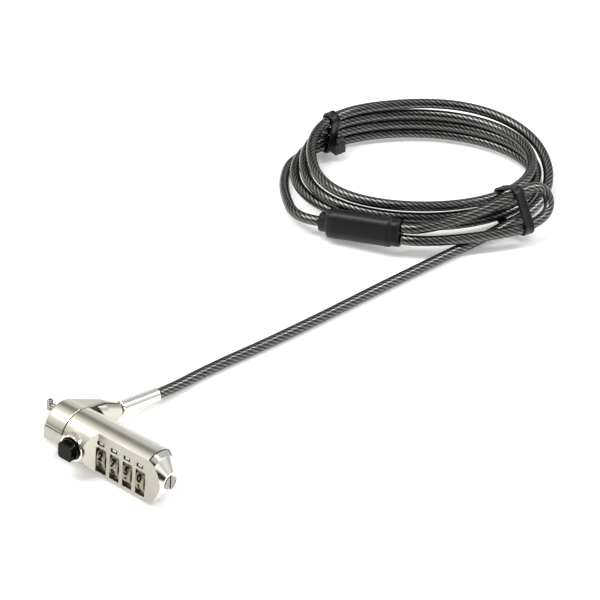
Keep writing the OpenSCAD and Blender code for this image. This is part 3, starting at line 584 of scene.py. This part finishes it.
PLASTICS = {
    "button_black": dict(color=(0.002, 0.002, 0.002), rough=0.16, spread=0.05, coat=0.04, grain=0.03,
                         grain_size=3000, gloss=0.1),
    "washer_black": dict(color=(0.015, 0.015, 0.015), rough=0.6, spread=0.15, grain=0.2, grain_size=2500),
    "sleeve_black": dict(color=(0.005, 0.005, 0.005), rough=0.38, spread=0.1, grain=0.4, grain_size=1400,
                         lift=1.8, gloss=0.3),
    "tie_black": dict(color=(0.004, 0.004, 0.004), rough=0.32, spread=0.1, grain=0.2, grain_size=2200,
                      gloss=0.3),
    "dial_ink": dict(color=(0.002, 0.002, 0.002), rough=0.6, spread=0.1, grain=0.2, grain_size=2500,
                     gloss=0.1),
    "mark_white": dict(color=(0.75, 0.75, 0.72), rough=0.5, spread=0.1, grain=0.2, grain_size=2500,
                       lift=1.05)}

looks = {name: metal(name, **values) for name, values in METALS.items()}
looks.update({name: plastic(name, **values) for name, values in PLASTICS.items()})
looks["cable_black"] = cable_material("cable_black")


def dress(ob, look):
    ob.data.materials.clear()
    ob.data.materials.append(looks[look])


for sub in frame["record"]["subparts"]:
    dress(nodes[sub["node"]], sub["material_slot"])
for ob in (cable, eye):
    dress(ob, "cable_black")
dress(nodes["end_cap"], "cap_nickel")
for i in range(DIALS):
    dress(nodes["dial_%d" % (i + 1)], "dial_brass")
# Painted shade: these pieces take the darker copy of the nickel
for name in ("reset_screw", "lock_tip", "tip_spindle"):
    dress(nodes[name], "tip_nickel")

# The collar and its arm are one smooth casting
cast = nodes["swivel_collar"].modifiers.new("cast", "REMESH")
cast.mode = "VOXEL"
cast.voxel_size = 0.2 * MM
cast.use_smooth_shade = True
even = nodes["swivel_collar"].modifiers.new("even", "SMOOTH")
even.factor = 0.5
even.iterations = 14

# ---------------------------------------------------------------- dial numbers
# A number's height, its boldness and width as shares, its mesh's longest edge and its lift off the dial
NUMBER_SIZE, NUMBER_BOLD, NUMBER_WIDTH, NUMBER_EDGE, NUMBER_LIFT = 4.1, 0.065, 0.92, 0.5, 0.025
NUMBER_CUTS = 2
# Numbers on a dial, the angle between them and the first one's, in degrees, and each dial's first number
NUMBERS, NUMBER_STEP, FIRST_AT = 10, 36, 18
SHOWN = (3, 8, 6, 1)


def glyph(char):
    curve = bpy.data.curves.new("glyph", "FONT")
    curve.body = char
    curve.size = NUMBER_SIZE
    curve.align_x = "CENTER"
    curve.align_y = "CENTER"
    curve.offset = NUMBER_BOLD * NUMBER_SIZE
    ob = bpy.data.objects.new("glyph", curve)
    scene.collection.objects.link(ob)
    dep = bpy.context.evaluated_depsgraph_get()
    mesh = bpy.data.meshes.new_from_object(ob.evaluated_get(dep))
    bpy.data.objects.remove(ob)
    bpy.data.curves.remove(curve)
    return mesh


def flat_number(char):
    """Places and faces of one number's mesh about its middle, cut fine enough to bend round a dial."""
    bm = bmesh.new()
    bm.from_mesh(glyph(char))
    bmesh.ops.triangulate(bm, faces=bm.faces)
    for _ in range(NUMBER_CUTS):
        long =[e for e in bm.edges if e.calc_length() > NUMBER_EDGE]
        if long:
            bmesh.ops.subdivide_edges(bm, edges=long, cuts=1)
            bmesh.ops.triangulate(bm, faces=bm.faces)
    xs = [v.co.x for v in bm.verts]
    ys = [v.co.y for v in bm.verts]
    mx, my = (min(xs) + max(xs)) / 2, (min(ys) + max(ys)) / 2
    verts = [(v.co.x - mx, v.co.y - my) for v in bm.verts]
    bm.verts.ensure_lookup_table()
    faces = [tuple(v.index for v in f.verts) for f in bm.faces]
    bm.free()
    return verts, faces


flat_numbers = [flat_number(str(k)) for k in range(NUMBERS)]
for i in range(DIALS):
    verts, faces = [], []
    x0 = DIAL_X + i * DIAL_PITCH
    r = DIAL_R + NUMBER_LIFT
    for k in range(NUMBERS):
        flat_verts, flat_faces = flat_numbers[(SHOWN[i] + k) % NUMBERS]
        base = len(verts)
        for gx, gy in flat_verts:
            a = -math.radians(FIRST_AT + NUMBER_STEP * k) + gy / DIAL_R
            verts.append(from_body(x0 + gx * NUMBER_WIDTH,
                                   SHAFT_Y - r * math.cos(a), SHAFT_Z + r * math.sin(a)))
        faces += [tuple(base + j for j in f) for f in flat_faces]
    ob = new_object("dial_%d_numbers" % (i + 1), verts, faces, smooth_shade=False)
    dress(ob, "dial_ink")
    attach(ob, "dial_%d" % (i + 1))

# Index marks: black enamel in each recess, a pale block in its middle. Each is half its width, half its
# height, its front's and its back's depth behind the dial face, and its material
ENAMEL, PALE = (1.58, 0.83, 0.57, 0.59, 0), (0.85, 0.42, 0.28, 0.40, 1)
BOX_FACES = ((0, 1, 2, 3), (7, 6, 5, 4), (0, 4, 5, 1), (1, 5, 6, 2), (2, 6, 7, 3), (3, 7, 4, 0))
verts, faces, kinds = [], [], []
for i in range(DIALS):
    x = DIAL_X + i * DIAL_PITCH + INDEX_SHIFT
    for w, h, front, back, kind in (ENAMEL, PALE):
        base = len(verts)
        for depth in (front, back):
            for dx, dz in ((-w, -h), (w, -h), (w, h), (-w, h)):
                verts.append(from_body(x + dx, -FACE_Y + depth, INDEX_Z + dz))
        faces += [tuple(base + j for j in f) for f in BOX_FACES]
        kinds += [kind] * len(BOX_FACES)
marks = new_object("index_marks", verts, faces, smooth_shade=False)
marks.data.materials.append(looks["dial_ink"])
marks.data.materials.append(looks["mark_white"])
for poly, kind in zip(marks.data.polygons, kinds):
    poly.material_index = kind
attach(marks, "housing")


# ---------------------------------------------------------------- sleeve over the loop's crimp
def sleeve_frame():
    """The sleeve's start, its turn and its length in mm."""
    start, end = from_coil(SLEEVE_FROM), from_coil(SLEEVE_TO)
    d = (end - start).normalized()
    turn = Matrix.Rotation(math.atan2(d.y, d.x), 3, "Z") \
        @ Matrix.Rotation(math.pi / 2 - math.asin(d.z), 3, "Y") @ Matrix.Rotation(SLEEVE_ROLL, 3, "Z")
    return start, turn, (end - start).length / MM


def rounded_ring(w, h, r, count, flat=0.01):
    """Points round a rounded rectangle, evenly by angle of its corners, with some flat left between."""
    w, h = w / 2, h / 2
    r = min(r, w - flat, h - flat)
    corners = [(w - r, h - r, 0), (-w + r, h - r, 90), (-w + r, -h + r, 180), (w - r, -h + r, 270)]
    pts = []
    per = count // 4
    for cx, cy, a0 in corners:
        for k in range(per):
            a = math.radians(a0 + 90 * k / (per - 1))
            pts.append((cx + r * math.cos(a), cy + r * math.sin(a)))
    return pts


start, turn, run = sleeve_frame()
c = SLEEVE_COLLAR
NECK, BODY, MOUTH = (SLEEVE_NECK_W, SLEEVE_NECK_H), (SLEEVE_W, SLEEVE_H), (SLEEVE_MOUTH_W, SLEEVE_MOUTH_H)
CORNER_SHORT = 0.6
# Each station: its place along the sleeve, how much wider than the section it is, and the section
SLEEVE_STATIONS = [
    (0.0, -1.2, NECK), (0.0, -0.4, NECK), (0.35, 0, NECK), (c - 0.9, 0.02, NECK), (c - 0.35, 0.5, NECK),
    (c - 0.05, -0.9, BODY), (c + 0.2, -0.3, BODY), (c + 0.7, 0, BODY), (c + 3, 0.04, BODY),
    (c + 8, -0.1, BODY), (run / 2, -0.02, BODY), (run - c - 7, -0.06, BODY),
    (run - c - 2.4, 0.0, BODY), (run - c - 1.5, 0.1, BODY), (run - c - 0.5, 0.05, BODY),
    (run - c - 0.1, -0.35, BODY),
    (run - c + 0.05, -0.1, MOUTH), (run - c + 0.5, 0, MOUTH), (run - 0.5, 0, MOUTH),
    (run - 0.1, -0.3, MOUTH), (run, -1.3, MOUTH)]
verts = []
for t, grow, (w, h) in SLEEVE_STATIONS:
    for px, py in rounded_ring(w + grow, h + grow, h / 2 - CORNER_SHORT, SLEEVE_SIDES):
        verts.append(start + turn @ (Vector((px, py, t)) * MM))
faces = ring_faces(len(SLEEVE_STATIONS), SLEEVE_SIDES)
faces.append(tuple(reversed(range(SLEEVE_SIDES))))
faces.append(tuple((len(SLEEVE_STATIONS) - 1) * SLEEVE_SIDES + k for k in range(SLEEVE_SIDES)))
sleeve = new_object("sleeve_skin", verts, faces)
dress(sleeve, "sleeve_black")
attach(sleeve, "cable")
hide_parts("eye_sleeve")

# ---------------------------------------------------------------- ties
STRAP_STEP, STRAP_REACH, STRAP_SIDES, STRAP_RIM = 0.33, 24, 32, 0.6
TOOTH, TOOTH_EVERY, HARD_EDGE = 0.10, 3, math.radians(35)
TIE_SIDE = TIE_W / 2
# The strap's section: out from the strands, and along them. The sunk band between the rims is toothed
STRAP_SECTION = [
    (0.0, -TIE_SIDE + 0.25), (0.0, 0.0), (0.0, TIE_SIDE - 0.25), (0.2, TIE_SIDE), (TIE_T - 0.3, TIE_SIDE),
    (TIE_T, TIE_SIDE - 0.35), (TIE_T, TIE_SIDE - 1.0), (TIE_T - 0.12, TIE_SIDE - 1.15),
    (TIE_T - 0.12, -TIE_SIDE + 1.15), (TIE_T, -TIE_SIDE + 1.0), (TIE_T, -TIE_SIDE + 0.35),
    (TIE_T - 0.3, -TIE_SIDE), (0.2, -TIE_SIDE)]
TOOTHED = (7, 8)
KNOT_H, KNOT_L, KNOT_BEVEL = 5.0, 5.8, 0.45
PAWL_W, PAWL_H, PAWL_L, PAWL_BEVEL, PAWL_IN = 0.7, 3.0, 3.6, 0.25, 0.1
TAIL_BEVEL, TAIL_NARROWER = 0.2, 0.8


def convex(points):
    """The convex outline round flat points."""
    pts = sorted(points)

    def half(seq):
        out = []
        for p in seq:
            while len(out) > 1 and ((out[-1][0] - out[-2][0]) * (p[1] - out[-2][1])
                                    - (out[-1][1] - out[-2][1]) * (p[0] - out[-2][0])) <= 0:
                out.pop()
            out.append(p)
        return out[:-1]
    return half(pts) + half(reversed(pts))


def tie_plane(at):
    """Where a tie's plane stands on the oval, the strands' direction there, and the way out."""
    a = math.radians(at)
    mid = Vector((COIL_A * math.cos(a), COIL_B * math.sin(a), 0))
    t = Vector((-COIL_A * math.sin(a), COIL_B * math.cos(a), 0)).normalized()
    return mid, t, Vector((t.y, -t.x, 0))


def strap(name, at, lines, knot, tail):
    """A toothed strap drawn tight round every strand that crosses its plane, with its locking head.

    The knot is the head's place out and up and its width, the tail its place and its two sizes."""
    mid, t, n = tie_plane(at)
    found = []
    for line in lines:
        for p in line:
            d = p - mid
            if abs(d.dot(t)) < TIE_SIDE + STRAP_RIM and abs(d.dot(n)) < STRAP_REACH:
                found.append((d.dot(n), p.z))
    r = CABLE_D / 2 + TIE_FIT
    angles = [2 * math.pi * k / STRAP_SIDES for k in range(STRAP_SIDES)]
    ring = convex([(x + r * math.cos(w), z + r * math.sin(w)) for x, z in found for w in angles])
    loop = [Vector((x, z, 0)) for x, z in ring]
    loop = resample(loop + [loop[0]], STRAP_STEP)[:-1]
    m = len(loop)
    verts = []

    def place(x, z, along):
        return from_coil(mid + n * x + t * along + Vector((0, 0, z)))

    for i, p in enumerate(loop):
        d = (loop[(i + 1) % m] - loop[i - 1]).normalized()
        outward = Vector((d.y, -d.x, 0))
        tooth = TOOTH if i % TOOTH_EVERY == 0 else 0.0
        for k, (off, along) in enumerate(STRAP_SECTION):
            q = p + outward * (off + (tooth if k in TOOTHED else 0))
            verts.append(place(q.x, q.y, along))
    faces = ring_faces(m, len(STRAP_SECTION), closed=True)

    def block(cx, cz, sx, sz, sl, bevel):
        """A bevelled box about a place in the tie's plane: its middle, its three sizes."""
        first = len(verts)
        for sign in (-1, 1):
            for inset, depth in ((bevel, 0.0), (0.0, bevel)):
                for dx, dz in ((-1, -1), (1, -1), (1, 1), (-1, 1)):
                    x = cx + dx * (sx / 2 - inset)
                    z = cz + dz * (sz / 2 - inset)
                    verts.append(place(x, z, sign * (sl / 2 - depth)))
        low, low_rim, high, high_rim = first, first + 4, first + 8, first + 12
        for k in range(4):
            l = (k + 1) % 4
            for a, b in ((low, low_rim), (low_rim, high_rim), (high_rim, high)):
                faces.append((a + k, a + l, b + l, b + k))
        faces.extend([(low, low + 3, low + 2, low + 1), (high, high + 1, high + 2, high + 3)])

    # Locking head, its pawl, and the strap's cut tail
    kx, kz, kw = knot
    block(kx, kz, kw, KNOT_H, KNOT_L, KNOT_BEVEL)
    block(kx - kw / 2 + PAWL_IN, kz, PAWL_W, PAWL_H, PAWL_L, PAWL_BEVEL)
    block(*tail, TIE_W - TAIL_NARROWER, TAIL_BEVEL)
    ob = new_object(name, verts, faces)
    bm = bmesh.new()
    bm.from_mesh(ob.data)
    bmesh.ops.recalc_face_normals(bm, faces=bm.faces)
    for e in bm.edges:
        if e.calc_face_angle(0) > HARD_EDGE:
            e.smooth = False
    bm.to_mesh(ob.data)
    bm.free()
    dress(ob, "tie_black")
    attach(ob, "cable")
    return ob


# One part in RUN_PARTS of the cable, its straight run, is held by no strap
RUN_PARTS = 8
coil_line = [to_coil(p) for p in cable_line[len(cable_line) // RUN_PARTS:]]
loop_line = [to_coil(p) for p in eye_line]
tie_a = strap("tie_left_strap", at=136, lines=[coil_line],
              knot=(-4.7, 6.0, 4.6), tail=(-6.2, 9.6, 1.0, 3.4))
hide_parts("tie_left")
tie_b = strap("tie_right_strap", at=-50, lines=[coil_line, loop_line],
              knot=(-3.4, 6.6, 2.4), tail=(-3.7, 9.0, 0.9, 2.0))
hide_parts("tie_right")

# ---------------------------------------------------------------- floor
FLOOR_HALF, FLOOR_Z = 4.0, -0.0002

looks["floor"] = bpy.data.materials.new("floor")
shader(clear(looks["floor"]), Metallic=0.0, Roughness=0.7, Base_Color=(0.93, 0.93, 0.93, 1),
       Emission_Color=(1.0, 1.0, 1.0, 1), Emission_Strength=0.22)
floor_corners = [(x * FLOOR_HALF, y * FLOOR_HALF, FLOOR_Z) for x, y in ((-1, -1), (1, -1), (1, 1), (-1, 1))]
floor = new_object("floor", floor_corners, [(0, 1, 2, 3)], smooth_shade=False)
dress(floor, "floor")

# ---------------------------------------------------------------- studio sky
SKY_STRENGTH, OPEN_SKY = 0.6, (1.0, 1.0, 0.98)
# Each patch: its direction, its inner and outer angle in degrees, and its colour. A later patch lies over
# the ones before it
SKY_PATCHES = [
    ((-0.66, 0.53, 0.53), 10, 17.5, (0.22, 0.21, 0.155)),   # olive gap, behind on the tip's side
    ((-0.52, 0.80, 0.30), 8, 19, (1.75, 1.78, 1.80)),       # low screen under it
    ((0.35, -0.80, 0.28), 18, 42, (0.06, 0.06, 0.055)),     # the dark room in front
    ((-0.50, -0.86, 0.06), 6, 24, (0.36, 0.35, 0.31)),      # grey screen in front, low on the tip's side
    ((-0.42, -0.38, 0.82), 32, 48, (1.85, 1.82, 1.72)),     # large cream screen overhead
    ((0.60, 0.61, 0.51), 12, 26, (1.6, 1.6, 1.58)),         # screen behind, on the end cap's side
    ((0.93, -0.08, 0.36), 17, 27, (2.0, 2.0, 1.97)),        # screen beside the end cap
    ((0.96, -0.12, 0.20), 8, 15, (0.05, 0.045, 0.03)),      # dark flag low in it
    ((0.34, -0.16, 0.92), 5, 14, (0.12, 0.12, 0.10))]       # dark flag overhead

world = bpy.data.worlds.new("studio")
scene.world = world
tree = clear(world)
bg = node(tree, "ShaderNodeBackground")
out = node(tree, "ShaderNodeOutputWorld")
tree.links.new(bg.outputs[0], out.inputs[0])
bg.inputs["Strength"].default_value = SKY_STRENGTH
sky_coords = node(tree, "ShaderNodeTexCoord").outputs["Generated"]


def patch(direction, inner, outer):
    """1 within the inner angle of a direction, 0 beyond the outer one."""
    rng = node(tree, "ShaderNodeMapRange", interpolation_type="SMOOTHSTEP")
    near = dot_node(tree, sky_coords, tuple(Vector(direction).normalized()))
    tree.links.new(near, rng.inputs["Value"])
    rng.inputs["From Min"].default_value = math.cos(math.radians(outer))
    rng.inputs["From Max"].default_value = math.cos(math.radians(inner))
    return rng.outputs["Result"]


sky = OPEN_SKY
for direction, inner, outer, color in SKY_PATCHES:
    sky = mix_color(tree, patch(direction, inner, outer), sky, color)
tree.links.new(sky, bg.inputs["Color"])

# ---------------------------------------------------------------- lights
LIGHT_TARGET = (0.03, 0.08, 0.0)


def area(name, place, size_x, size_y, power):
    light = bpy.data.lights.new(name, "AREA")
    light.shape = "RECTANGLE"
    light.size = size_x
    light.size_y = size_y
    light.energy = power
    ob = bpy.data.objects.new(name, light)
    scene.collection.objects.link(ob)
    ob.location = place
    ob.rotation_mode = "QUATERNION"
    ob.rotation_quaternion = (Vector(LIGHT_TARGET) - Vector(place)).to_track_quat("-Z", "Y")


area("key", place=(-0.35, -0.25, 1.2), size_x=0.34, size_y=1.0, power=11.0)
area("fill", place=(0.55, 0.75, 0.85), size_x=0.10, size_y=0.9, power=6.0)
